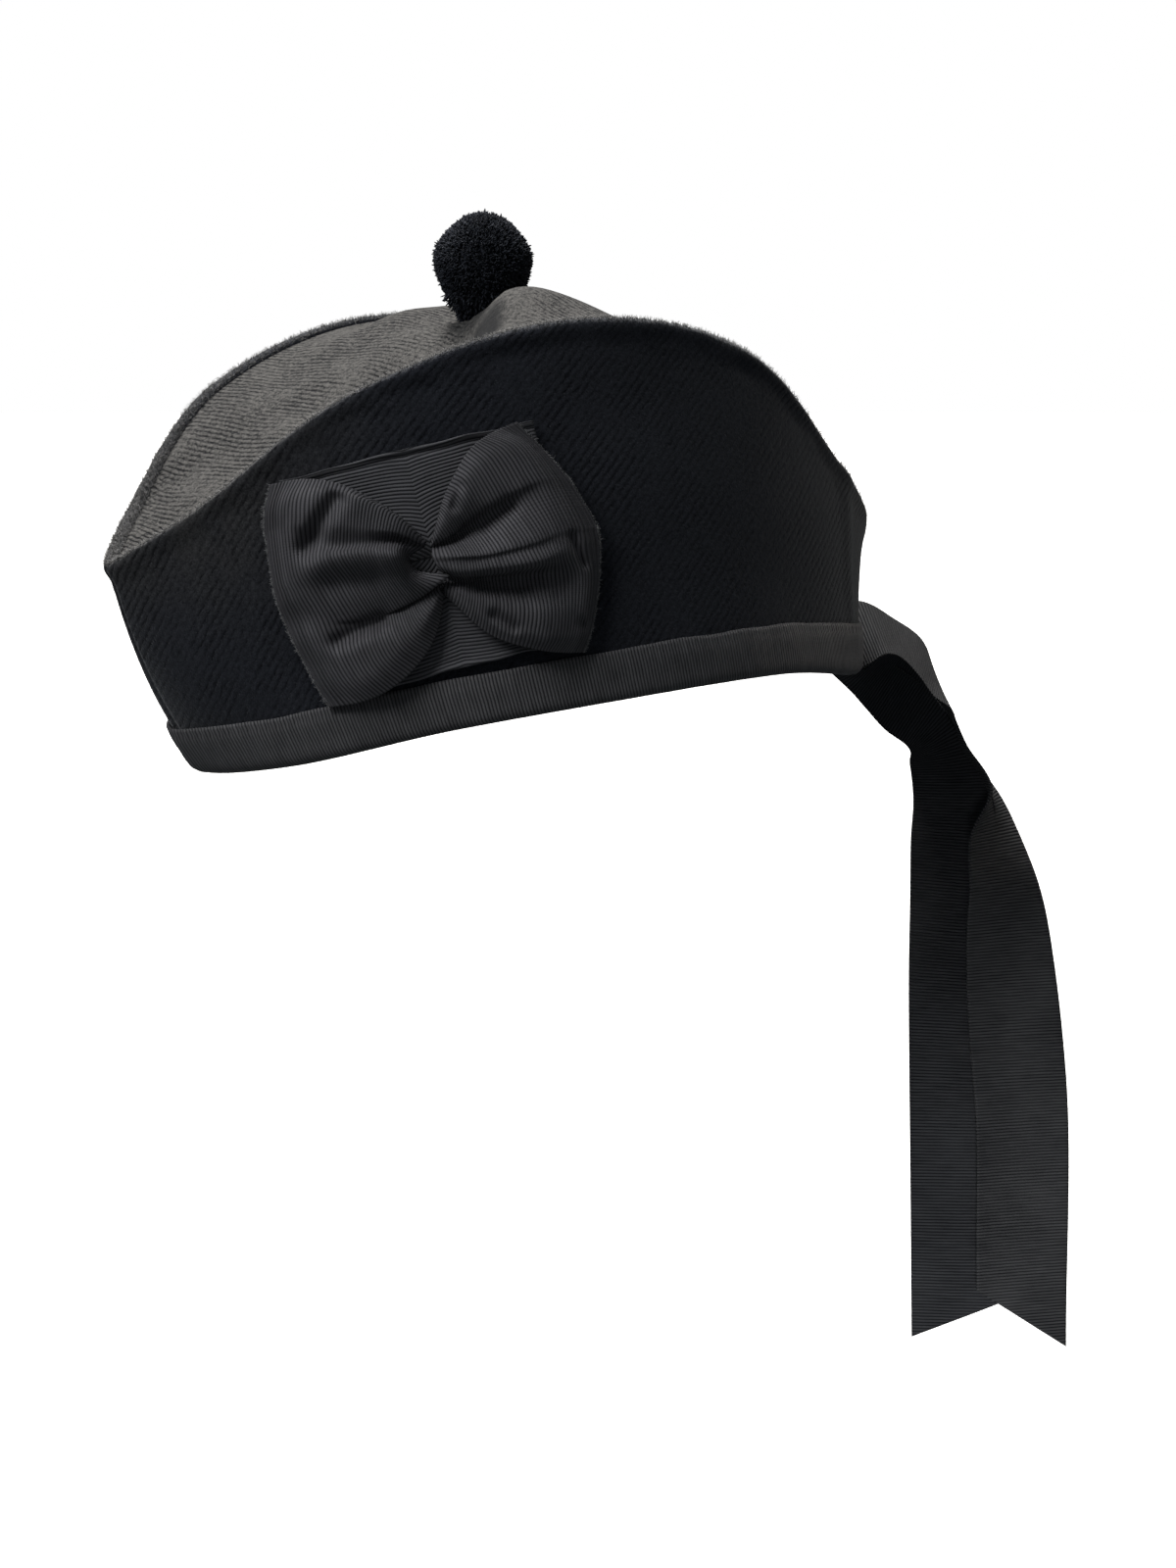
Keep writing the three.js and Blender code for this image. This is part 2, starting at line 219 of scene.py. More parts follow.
class Signal:
    """A node's socket that arithmetic can be done with: each operator adds a Math node."""

    def __init__(self, tree, socket):
        self.tree, self.socket = tree, socket

    def node(self, kind, settings=(), inputs=(), output=0):
        """Any node: its settings are set first, then its inputs get values or links."""
        made = self.tree.nodes.new(kind)
        for key, value in dict(settings).items():
            setattr(made, key, value)
        for key, value in dict(inputs).items():
            if isinstance(value, Signal):
                self.tree.links.new(value.socket, made.inputs[key])
            else:
                made.inputs[key].default_value = value
        return Signal(self.tree, made.outputs[output])

    def math(self, operation, *values):
        return self.node("ShaderNodeMath", {"operation": operation}, enumerate(values))

    def __add__(self, other):
        return self.math("ADD", self, other)

    def __sub__(self, other):
        return self.math("SUBTRACT", self, other)

    def __rsub__(self, other):
        return self.math("SUBTRACT", other, self)

    def __mul__(self, other):
        return self.math("MULTIPLY", self, other)

    def __truediv__(self, other):
        return self.math("DIVIDE", self, other)

    def __pow__(self, other):
        return self.math("POWER", self, other)

    def __rtruediv__(self, other):
        return self.math("DIVIDE", other, self)

    def __rpow__(self, other):
        return self.math("POWER", other, self)

    __radd__, __rmul__ = __add__, __mul__

    def ribs(self):
        """Rounded ribs with sharp grooves, one for each unit: the sine's size."""
        return self.math("ABSOLUTE", self.math("SINE", self * np.pi))

    def rises(self, low, high):
        """A smooth step from 0 at low to 1 at high."""
        return self.node("ShaderNodeMapRange", {"interpolation_type": "SMOOTHSTEP"},
                         {"Value": self, "From Min": low, "From Max": high})

    def tint(self, low, high):
        """A colour between two, by this signal. Each is a fixed colour or itself a signal."""
        low, high = (shade if isinstance(shade, Signal) else (*shade, 1) for shade in (low, high))
        return self.node("ShaderNodeMix", {"data_type": "RGBA", "clamp_factor": True},
                         {0: self, 6: low, 7: high}, 2)


class Finish:
    """A material: its shader with the constants set, its Object coordinates, and its cloth
    coordinates along and over."""

    def __init__(self, name, **constants):
        self.material = bpy.data.materials.new(name)
        self.material.use_nodes = True
        tree = self.material.node_tree
        self.shader = tree.nodes["Principled BSDF"]
        for key, value in constants.items():
            self.shader.inputs[key.replace("_", " ")].default_value = value
        self.node = Signal(tree, None).node
        self.place = self.node("ShaderNodeTexCoord", output=3)
        weave = self.node("ShaderNodeUVMap", {"uv_map": "weave"})
        self.along = self.node("ShaderNodeSeparateXYZ", inputs={0: weave}, output=0)
        self.over = self.node("ShaderNodeSeparateXYZ", inputs={0: weave}, output=1)

    def noise(self, size, detail=2.0, roughness=0.5):
        """Soft noise from 0 to 1 with features of about that size in millimetres."""
        return self.node("ShaderNodeTexNoise", inputs={
            "Vector": self.place, "Scale": 1 / (size * MM), "Detail": detail, "Roughness": roughness})

    def streaks(self, ahead, beside):
        """Noise drawn out by how slowly each of two signals runs."""
        line = self.node("ShaderNodeCombineXYZ", inputs={0: ahead, 1: beside, 2: 0.0})
        return self.node("ShaderNodeTexNoise", inputs={"Vector": line, "Scale": 1.0, "Detail": 1.0})

    def done(self, colour, relief, depth, strength, rough=None):
        """Links the colour, the relief of that depth in millimetres and any roughness."""
        normal = self.node("ShaderNodeBump", inputs={
            "Strength": strength, "Distance": depth * MM, "Height": relief})
        tree = self.material.node_tree
        tree.links.new(colour.socket, self.shader.inputs["Base Color"])
        tree.links.new(normal.socket, self.shader.inputs["Normal"])
        if rough is not None:
            tree.links.new(rough.socket, self.shader.inputs["Roughness"])
        return self.material


FLOAT_LENGTH = 2.6  # how far a yarn of the twill runs before it dives


def milled_wool(name, dark, light, fibre, lean, spacing, bite, grain, sheen, painted_shade_spot=None, seam_highlight=None):
    """Twill that milling has half covered with nap: diagonal ribs, broken into short floats,
    that come and go under tangled fibres, a few of them paler. bite is how deep the
    grooves show and grain how mottled the nap is. The shade spot, as middle and half size
    in cloth millimetres, is painted shade: coloured dark and without ribs, for the shade of
    a fold deeper than the mesh has, and it shows as a dark oval from above. The seam
    highlight is the dark and the light of a paler colour near the two seams: painted light."""
    cloth = Finish(name, Sheen_Weight=sheen, Sheen_Roughness=0.45, Specular_IOR_Level=0.04)
    wobble = cloth.noise(3.2, 2.0) * 0.5 + cloth.noise(0.9, 1.0) * 0.3
    ribs_along, ribs_over = np.sin(lean) / (spacing * MM), np.cos(lean) / (spacing * MM)
    slant = cloth.along * ribs_along - cloth.over * ribs_over + wobble
    run = cloth.along * np.cos(lean) + cloth.over * np.sin(lean)
    floats = cloth.streaks(run / (FLOAT_LENGTH * MM), slant * 1.3).rises(0.25, 0.6) * 0.65 + 0.35
    groove = 1 - slant.ribs()
    bare = cloth.noise(13, 3.0).rises(0.3, 0.66) * 0.75 + 0.25
    nap = cloth.noise(0.45, 3.0, 0.6) - 0.5
    tuft = cloth.noise(1.2, 3.0, 0.6) - 0.5
    stray = cloth.noise(0.35, 1.0).rises(0.68, 0.76)
    cut = groove * floats * bare
    # Painted shade: the ribs die away round the dark spot.
    if painted_shade_spot:
        (middle_along, middle_over), (half_along, half_over) = painted_shade_spot
        beside = (cloth.along - middle_along * MM) / (half_along * MM)
        beyond = (cloth.over - middle_over * MM) / (half_over * MM) + beside * 0.6
        from_spot = beside * beside + beyond * beyond
        cut = cut * (from_spot.rises(1.5, 9) * 0.85 + 0.15)
    relief = nap * 0.5 + tuft * 0.5 - cut * (bite * 0.8)
    tone = nap * (1.1 * grain) + tuft * (0.9 * grain) + cloth.noise(28, 2.0) * 0.35 - cut * bite + 0.52
    # Painted shade: the spot's colour goes dark, for the shade of a deeper fold.
    if painted_shade_spot:
        tone = tone * (from_spot + cloth.noise(9, 2.0) * 0.8 - 0.4).rises(0.4, 1.7)
    shade = tone.tint(dark, light)
    # Painted light: a paler colour near the rear seam, and near the nose seam higher up.
    if seam_highlight:
        to_rear = cloth.node("ShaderNodeSeparateXYZ", inputs={0: cloth.place}, output=1)
        height = cloth.node("ShaderNodeSeparateXYZ", inputs={0: cloth.place}, output=2)
        nose_highlight = to_rear.rises(-0.055, -0.125) * height.rises(0.015, 0.065)
        dye_patches_and_highlight = (to_rear.rises(0.06, 0.115) + nose_highlight) * (cloth.noise(11, 3.0) + 0.35)
        shade = dye_patches_and_highlight.tint(shade, tone.tint(*seam_highlight))
    colour = (stray * 0.4).tint(shade, fibre)
    return cloth.done(colour, relief, 0.5, 0.9, 0.86 + nap * 0.14)


# Its paler colours near the seams are painted light.
side_wool = milled_wool(
    "side_wool", dark=(0.0034, 0.004, 0.0064), light=(0.0295, 0.0315, 0.039), fibre=(0.12, 0.12, 0.125),
    lean=np.radians(42), spacing=2.05, bite=0.55, grain=1.4, sheen=0.3,
    seam_highlight=((0.009, 0.009, 0.0095), (0.072, 0.0685, 0.066)))
PANEL_STEPS, WALL_ROWS, ROLL_ROWS = 300, 30, 26


def side_shape(hand):
    """One side: for each turn, a section up the outer face, over the roll and down inside.
    It dips a little at the seams, and their turnings stand up inside. hand is 1 for the
    wearer's left and -1 for the mirror image."""
    turn = np.linspace(0, 180, PANEL_STEPS)[:, None]
    tall = around("edge", turn) - around("rim", turn)
    drop, inset = through(np.arange(len(ROLL)), ROLL, np.linspace(0, len(ROLL) - 1, ROLL_ROWS)).T
    share = np.linspace(0, 1, WALL_ROWS, endpoint=False)
    straight = share * (tall - ROLL[0][0])
    height = np.concatenate([straight, tall - drop, straight[:, ::-1]], 1)
    level = np.concatenate([0 * share, inset, 0 * share + CLOTH])
    outside = np.arange(len(level)) < len(level) // 2
    from_seam = np.minimum(girth(turn), girth(180.0) - girth(turn))
    dip = SEAM_DIP["depth"] * hump(from_seam, SEAM_DIP["width"])
    width = SEAM_TURNINGS["width"]
    turnings = SEAM_TURNINGS["rise"] * (1 - smooth(from_seam, width - 1, width))
    lumps = ROLL_LUMPS["rise"] * drift(girth(turn), height, ROLL_LUMPS["reach"], 8)
    level = level + np.where(outside, dip, turnings * (height < tall - ROLL[0][0]))
    level = level + np.where(level < 0, lumps, 0)
    points = wall(turn, height, level)
    points[..., 0] = hand * (points[..., 0] + SEAM_GAP)
    up = run_of(points.swapaxes(0, 1)).T
    weave = np.stack([hand * girth(turn) + 0 * up, up], -1)
    return carried(worn(points), weave)


side_left = make_piece("side_left", side_shape(1), side_wool, "side_wool", "side_panel_left")
side_right = make_piece("side_right", side_shape(-1), side_wool, "side_wool", "side_panel_right")


def ringed(rings, sides):
    """Quads between rings of points, with a strip across the first ring and the last."""
    ring, place = np.meshgrid(np.arange(rings - 1), np.arange(sides), indexing="ij")
    beside = (place + 1) % sides
    quads = np.stack([ring * sides + place, ring * sides + beside,
                      (ring + 1) * sides + beside, (ring + 1) * sides + place], -1).reshape(-1, 4)
    half = np.arange(sides // 2 - 1)
    lid = np.stack([half, half + 1, sides - 2 - half, sides - 1 - half], -1)
    return np.concatenate([quads, lid[:, ::-1], lid + (rings - 1) * sides])


def strands(roots, ways, lengths, radii, sides, profile):
    """Many short yarns: each is a ring of points carried from its root along its way, with
    the profile's share of its length and of its radius at each ring, and closed at both ends."""
    count, rings = len(roots), len(profile)
    ways = ways / np.linalg.norm(ways, axis=1, keepdims=True)
    side = np.cross(ways, np.where(np.abs(ways[:, 2:]) < 0.9, [[0, 0, 1]], [[1, 0, 0]]))
    side /= np.linalg.norm(side, axis=1, keepdims=True)
    third = np.cross(ways, side)
    angle = np.linspace(0, 2 * np.pi, sides, endpoint=False)
    circle = np.cos(angle)[:, None] * side[:, None, None] + np.sin(angle)[:, None] * third[:, None, None]
    far, wide = np.array(profile).T
    spine = roots[:, None] + ways[:, None] * (lengths[:, None] * far)[..., None]
    points = spine[:, :, None] + circle * (radii[:, None] * wide)[:, :, None, None]
    quads = (ringed(rings, sides) + np.arange(count)[:, None, None] * rings * sides).reshape(-1, 4)
    return points.reshape(-1, 3), quads, np.zeros((len(quads), 4, 2))


LIP_HAIRS = 6000
LIP_BAND = (6.2, 9.6)  # where on the roll they grow, counted along its points
LIP_HEART = {"drop": 3.2, "inset": 0.8}  # the middle of the roll
HAIR_PROFILE = [(0, 1.0), (1, 0.5)]  # shares of a hair's length and radius
HAIR_SIDES = 4

# The hairs are real nap; their pale colour is partly painted light, the highlight along the roll's top.
lip_fibre = Finish("lip_fibre", Sheen_Weight=0.1, Specular_IOR_Level=0.04, Roughness=0.95)
lip_speck = lip_fibre.noise(1.1, 2.0)
lip_nap_and_highlight = lip_fibre.done(lip_speck.tint((0.06, 0.06, 0.06), (0.3, 0.29, 0.28)), lip_speck, 0.1, 0.3)


def lip_hairs(hand):
    """Fibres that stand off the roll: each is rooted on the roll's skin at a random turn and
    points away from the roll's middle, leaning at random."""
    draw = np.random.default_rng(61 + hand)
    turn = draw.uniform(4, 176, LIP_HAIRS)
    tall = around("edge", turn) - around("rim", turn)
    drop, inset = through(np.arange(len(ROLL)), ROLL, draw.uniform(*LIP_BAND, LIP_HAIRS)).T
    root = wall(turn, tall - drop, inset)
    way = root - wall(turn, tall - LIP_HEART["drop"], LIP_HEART["inset"])
    way = way / np.linalg.norm(way, axis=1, keepdims=True) + draw.normal(0, 0.6, way.shape)
    length = draw.uniform(0.5, 1.3, LIP_HAIRS)
    radius = draw.uniform(0.04, 0.08, LIP_HAIRS)
    points, faces, woven = faces_out(*strands(root, way, length, radius, HAIR_SIDES, HAIR_PROFILE))
    return worn(points * (hand, 1, 1)), faces, woven


lip_left = make_piece("lip_left", lip_hairs(1), lip_nap_and_highlight, "side_wool")
lip_right = make_piece("lip_right", lip_hairs(-1), lip_nap_and_highlight, "side_wool")

# ---- Crown ---------------------------------------------------------------
# One piece of the same black wool twill as the sides, sewn in just below the rolls and
# painted paler than them: painted light from above. It dips to a crease from the front to
# the rear and puffs up on both sides of the pompom. One spot is painted shade, dark for a fold.
CROWN_DROP = 3.6  # how far below the top edge it is sewn
CROWN_INSET = 2.1
CROWN_TURNS = (6, 174)
# The puffs: how far to each side and along, their width, where the left one's steep face
# starts and ends, and how far they fall away to the rear.
PUFF = {"side": 26.0, "along": 3.0, "width": 12.0, "foot": -18.0, "brow": 1.5, "reach": 19.0}
PUFF_RISE = {"left": 10.2, "right": 4.5}
PUFF_SKEW = 0.1  # the steep face's slant
HOLLOW = {"side": 24.0, "width": 11.0, "depth": 7.0, "front": (-62.0, -40.0)}  # before the left puff
# The crease wanders to the left in front: share of the half width, and where it does so.
CREASE = {"side": 0.3, "starts": (10, 40), "ends": (66, 92)}
PUFF_HEM = 0.85  # share of the half width where a puff starts to fade
CROWN_WAVES = {"rise": 0.6, "reach": 30.0}
TUCKS = {"rise": 0.5, "count": 9, "reach": 24.0}  # round the pompom
CROWN_ROWS, CROWN_COLUMNS = 170, 91

# Its colours, paler than the side wool's, are painted light from above, and its dark spot is painted shade.
crown_wool = milled_wool(
    "crown_wool", dark=(0.006, 0.0062, 0.007), light=(0.081, 0.0775, 0.073), fibre=(0.17, 0.165, 0.158),
    lean=np.radians(15), spacing=1.85, bite=1.0, grain=2.5, sheen=0.06, painted_shade_spot=((32, 123), (11, 8.5)))


def thick(face, cloth):
    """Sections of a sheet: a grid's points, and behind them the same points moved along the
    surface's normal by the thickness."""
    normal = np.cross(np.gradient(face, axis=0), np.gradient(face, axis=1))
    normal /= np.maximum(np.linalg.norm(normal, axis=-1, keepdims=True), 1e-9)
    return np.concatenate([face, (face - cloth * normal)[:, ::-1]], 1)


def both_sides(along, over):
    """Cloth coordinates for the two faces of a sheet made by thick()."""
    woven = np.stack(np.broadcast_arrays(along, over), -1)
    return np.concatenate([woven, woven[:, ::-1]], 1)


def crown_face():
    """The crown's upper face: it falls from the edges to the crease, plus a puff on each
    side, the left one with a steep face and a hollow in front, soft waves, and tucks round
    the pompom."""
    turn = np.linspace(*CROWN_TURNS, CROWN_ROWS)[:, None]
    across = np.linspace(-1, 1, CROWN_COLUMNS)
    tall = around("edge", turn) - around("rim", turn)
    edge = wall(turn, tall - CROWN_DROP, CROWN_INSET)
    x = across * edge[..., 0]
    y = edge[..., 1] + 0 * x
    crease = CREASE["side"] * smooth(turn, *CREASE["starts"]) * (1 - smooth(turn, *CREASE["ends"]))
    share = np.where(across < crease, (1 + across) / (1 + crease), (1 - across) / (1 - crease))
    dip = CROWN_DROP + (around("crease", turn) - CROWN_DROP) * (share - 0.12 * share**6)
    step_up = smooth(y + PUFF_SKEW * (x - PUFF["side"]), PUFF["foot"], PUFF["brow"])
    along_fall = np.exp(-0.5 * ((y - PUFF["along"]) / PUFF["reach"]) ** 2)
    along_fall = np.where((x > 0) & (y < PUFF["along"]), step_up, along_fall)
    puff = along_fall * np.exp(-0.5 * ((np.abs(x) - PUFF["side"]) / PUFF["width"]) ** 2)
    rise = np.where(x > 0, PUFF_RISE["left"], PUFF_RISE["right"])
    hollow_side = np.exp(-0.5 * ((x - HOLLOW["side"]) / HOLLOW["width"]) ** 2)
    hollow = smooth(y, *HOLLOW["front"]) * (1 - step_up) * hollow_side
    hem = 1 - smooth(np.abs(across), PUFF_HEM, 1)
    waves = CROWN_WAVES["rise"] * drift(x, y, CROWN_WAVES["reach"], 5) * hem
    from_pompom = np.hypot(x, y - PUFF["along"])
    bearing = np.arctan2(y - PUFF["along"], x + 0.001)
    tucks = TUCKS["rise"] * hump(from_pompom, TUCKS["reach"]) * np.sin(TUCKS["count"] * bearing)
    tucks = tucks * smooth(from_pompom, 3, 9)
    z = around("edge", turn) - dip + (rise * puff - HOLLOW["depth"] * hollow) * hem + waves + tucks * hem
    return np.stack([x, y, z], -1)


crown_top = crown_face()
crown_length = run_of(crown_top).mean(1)
crown_weave = both_sides(crown_top[..., 0], crown_length[:, None])
crown_cloth = make_piece("crown_cloth", carried(worn(thick(crown_top, CLOTH)), crown_weave), crown_wool,
                         "crown_wool", "crown")

# ---- Rim binding ---------------------------------------------------------
# A grosgrain ribbon folded over the raw rim of both sides and stitched through, with its
# ribs upright. Its ends meet at the rear seam, where the tails begin.
RIBBON = 0.55  # thickness of the ribbon
# The ribbon's outer skin, as inset from the wool's outer face and height above the rim.
BINDING = [
    (-0.75, 12.5), (-1.0, 11.9), (-1.05, 10.9), (-1.35, 9.5), (-1.5, 7), (-1.5, 4),
    (-1.5, 1.4), (-1.25, -0.3), (-0.4, -1.25), (1, -1.55), (2.4, -1.25), (3.2, -0.3),
    (3.5, 1.4), (3.5, 4), (3.45, 8), (3.1, 12.2),
]
REAR_DIP = {"depth": 4.6, "reach": 22.0}  # of the upper edge, where the ends meet
STITCHING = {"height": 10.9, "width": 0.9, "spacing": 3.1, "pucker": 0.16}
WARP_SPACING = 0.36
HEM_ROW_SPACING = 1.15
BINDING_STEPS, BINDING_ROWS = 640, 30


def grosgrain(name, spacing, dark, light, gloss=0.2, mottle=0.3, hem=None, painted_root_shade=None):
    """Ribbed ribbon: rounded ribs across its length with fine warp threads over them. Ribs
    differ a little from one to the next. spacing is theirs, and mottle is how patchy the dye
    is. hem is the distance from the middle, in millimetres, beyond which a raw end is
    stitched in close rows. The root shade is the stretch of its length, in millimetres, over
    which the colour goes from dark to paler: painted shade at the root."""
    ribbon = Finish(name, Sheen_Weight=0.15 * gloss, Sheen_Roughness=0.35, Specular_IOR_Level=gloss)
    wobble = ribbon.noise(6, 2.0) * 0.22
    count = ribbon.along / (spacing * MM) + wobble
    rib = count.ribs() ** 0.75
    warp = (ribbon.over / (WARP_SPACING * MM) + ribbon.noise(1.5, 1.0) * 0.6).ribs()
    uneven = ribbon.streaks(count * 0.9, ribbon.over / (9 * MM))
    dye_patches_and_highlight = ribbon.noise(12 + 16 * (mottle > 0.5), 3.0) - 0.5
    relief = rib + warp * 0.16 + uneven * 0.25
    tone = rib * (uneven * 0.7 + 0.5) + warp * 0.1 + dye_patches_and_highlight * mottle - 0.07
    if hem:
        size = ribbon.along.math("ABSOLUTE", ribbon.along)
        end = size.rises((hem - 0.5) * MM, (hem + 0.5) * MM)
        rows = (size / (HEM_ROW_SPACING * MM)).ribs() ** 0.6
        relief = relief + end * (rows * 1.1 - 0.3)
        tone = tone * (1 - end * 0.6) + end * (rows * 0.6 - 0.2)
    # Painted shade: the colour is darker near the root.
    if painted_root_shade:
        tone = tone * (ribbon.along.rises(painted_root_shade[0] * MM, painted_root_shade[1] * MM) * 0.4 + 0.6)
    return ribbon.done(tone.tint(dark, light), relief, 0.3, 0.9, 0.7 - rib * 0.2)


binding_ribbon = grosgrain("binding_ribbon", 1.02, (0.0082, 0.0082, 0.009), (0.149, 0.143, 0.1455))


def binding_shape():
    """The folded ribbon's section, its skin and the same skin moved in by the ribbon's
    thickness, carried once round the rim. It puckers at the stitches, wavers a little and
    dips at the rear."""
    turn = np.linspace(0, 360, BINDING_STEPS, endpoint=False)[:, None]
    left = turn <= 180
    folded = np.where(left, turn, 360 - turn)
    knots = run_of(BINDING)
    skin = through(knots, BINDING, np.linspace(0, knots[-1], BINDING_ROWS))
    way = np.gradient(skin, axis=0)
    way /= np.linalg.norm(way, axis=1, keepdims=True)
    inner = skin + RIBBON * np.stack([-way[:, 1], way[:, 0]], 1)
    inset, height = np.concatenate([skin, inner[::-1]]).T
    length = np.where(left, girth(folded), 2 * girth(180.0) - girth(folded))
    outside = np.arange(len(inset)) < BINDING_ROWS // 2
    stitches = hump(height - STITCHING["height"], STITCHING["width"])
    stitches = STITCHING["pucker"] * stitches * np.cos(length * FULL_TURN / STITCHING["spacing"])
    pucker = np.where(outside, stitches - 0.12 * drift(length, height, 14, 4), 0)
    rise = 0.22 * drift(length, 0 * height, 24, 6) * smooth(height, 4, 12)
    from_rear = girth(180.0) - girth(folded)
    near_rear = 1 - smooth(from_rear, 0, REAR_DIP["reach"])
    rise = rise - REAR_DIP["depth"] * near_rear * smooth(height, 3, 12)
    points = wall(folded, height + rise, inset + pucker)
    points[..., 0] = np.where(left, points[..., 0], -points[..., 0])
    length = np.concatenate([length, [[2 * girth(180.0)]]])
    over = np.linspace(0, knots[-1], BINDING_ROWS)
    return carried(worn(points), both_sides(length, over), closed=True)


binding = make_piece("binding", binding_shape(), binding_ribbon, "ribbon", "rim_binding")

# ---- Pompom --------------------------------------------------------------
# A toorie: a ball of cut wool yarn, tied tight and trimmed, seated in the crown's crease.
# It is a little lumpy and narrower at its foot, where some ends have escaped the trimming.
TOORIE = {"along": 3.2, "base": 110.0, "lean": np.radians(6), "top": 32.0, "middle": 17.0}
# Height above its foot, and radius there. Over the last one it is rounded off.
TOORIE_SHAPE = [
    (0, 4.6), (3, 7.2), (7, 9.8), (11, 11.9), (15, 13.2), (19, 13.6), (23, 12.6), (27, 9.8),
    (29.5, 7), (31, 4.6),
]
CORE_SHARE = 0.9
CORE_ROWS, CORE_PLACES = 31, 48
YARN_ENDS, STRAY_ENDS = 8600, 500
YARN_LENGTH = 2.3
YARN_PROFILE = [(0, 0.8), (0.8, 1.0), (1, 0.45)]  # shares of a yarn's length and radius
GOLDEN_ANGLE = 2.399963  # from one yarn end to the next, which spreads them evenly

yarn = Finish("pompom_yarn", Sheen_Weight=0.05, Sheen_Roughness=0.5, Specular_IOR_Level=0.04, Roughness=0.95)
yarn_speck = yarn.noise(0.8, 2.0, 0.6)
yarn_tone = (yarn.noise(5, 2.0) - 0.5) * 1.2 + (yarn_speck - 0.5) * 2.6 + 0.4
pompom_wool = yarn.done(yarn_tone.tint((0.005, 0.0058, 0.0085), (0.043, 0.0465, 0.057)), yarn_speck, 0.3, 0.8)


def toorie_skin(height, turn):
    """A point of the ball: its radius at that height, all round its own upright axis, with
    soft lumps. The top is rounded off with a square root."""
    shoulder = TOORIE_SHAPE[-1][0]
    radius = np.maximum(through(*np.array(TOORIE_SHAPE).T, np.clip(height, 0, shoulder)), 0.1)
    radius = radius * np.sqrt(np.clip((TOORIE["top"] - height) / (TOORIE["top"] - shoulder), 0, 1))
    x, y = radius * np.cos(turn), radius * np.sin(turn)
    lumps = 1 + 0.035 * drift(x + 0.6 * y, height - 0.5 * y, 17, 27)
    return np.stack(np.broadcast_arrays(x * lumps, y * lumps, height), -1)


def toorie_placed(points):
    """The ball leaned back and set on the crown."""
    x, y, z = np.moveaxis(points, -1, 0)
    cos, sin = np.cos(TOORIE["lean"]), np.sin(TOORIE["lean"])
    return np.stack([x, y * cos + z * sin + TOORIE["along"], z * cos - y * sin + TOORIE["base"]], -1)


def toorie_shape():
    """A core a little inside the skin, covered with thin cut ends of yarn that stand away
    from the ball's middle to uneven lengths, with a few longer ones near the foot."""
    draw = np.random.default_rng(21)
    middle = np.array([0, 0, TOORIE["middle"]])
    spin = np.linspace(0, 2 * np.pi, CORE_PLACES + 1)[:-1]
    height = TOORIE["top"] * (0.5 - 0.5 * np.cos(np.linspace(0.05, np.pi - 0.05, CORE_ROWS)))
    core = middle + (toorie_skin(height[:, None], spin) - middle) * CORE_SHARE
    count = YARN_ENDS + STRAY_ENDS
    even = TOORIE["top"] * (np.arange(YARN_ENDS) + 0.5) / YARN_ENDS
    high = np.concatenate([even, draw.uniform(0.3, 9, STRAY_ENDS)])
    skin = toorie_skin(high, np.arange(count) * GOLDEN_ANGLE + draw.normal(0, 0.3, count))
    ways = skin - middle + draw.normal(0, 3.4, (count, 3))
    unit = ways / np.linalg.norm(ways, axis=1, keepdims=True)
    stray = np.arange(count) >= YARN_ENDS
    proud = np.where(stray, draw.uniform(0.4, 2.0, count), draw.normal(0.05, 0.3, count))
    length = YARN_LENGTH + np.maximum(proud, -0.8)
    roots = skin - unit * YARN_LENGTH
    ends = strands(roots, ways, length, draw.uniform(0.17, 0.3, count), HAIR_SIDES, YARN_PROFILE)
    quads = ringed(CORE_ROWS, CORE_PLACES)
    solid = (core.reshape(-1, 3), quads, np.zeros((len(quads), 4, 2)))
    points, faces, woven = joined(faces_out(*solid), faces_out(*ends))
    return worn(toorie_placed(points)), faces, woven


pompom = make_piece("pompom", toorie_shape(), pompom_wool, "pompom_wool", "toorie")

# ---- Bow's ground --------------------------------------------------------
# A piece of wide grosgrain laid flat on the wearer's left side with its ribs level. Its
# top is hemmed twice, and the bow's pinch draws its ribs into a chevron.
COCKADE = {"turn": 64.5, "height": 46.0, "mm_per_degree": 1.9}  # its middle on the left side
GROUND = {"front": -34.0, "rear": 34.0, "low": -31.0, "high": 29.6}
GROUND_SLANT = 0.05  # its top and bottom rise towards the rear
# The top hem's groove, and where the turned edges start and end.
HEM = {"groove": 27.9, "groove_width": 0.65, "top": (28.5, 28.9), "foot": (29.3, 29.6)}
GATHER = {"width": 5.0, "reach": 16.0, "depth": 0.3}
CHEVRON = {"bend": 7.0, "width": 9.0, "reach": 15.0}
GROUND_THICKNESS = 0.5
GROUND_ROWS, GROUND_COLUMNS = 110, 100


def off_wall(turn, height, distance):
    """A point at that distance out from the left side, square to the cloth."""
    here = wall(turn, height)
    normal = np.cross(wall(turn + 1, height) - here, wall(turn, height + 1) - here)
    normal /= np.linalg.norm(normal, axis=-1, keepdims=True)
    return here + normal * distance[..., None]


def on_side(across, up, distance):
    """A point of the cockade: millimetres towards the rear and up from its middle."""
    turn = COCKADE["turn"] + across / COCKADE["mm_per_degree"]
    return worn(off_wall(turn, COCKADE["height"] + up, distance))


ground_ribbon = grosgrain("ground_ribbon", 0.92, (0.0072, 0.0073, 0.0083), (0.139, 0.135, 0.1425))


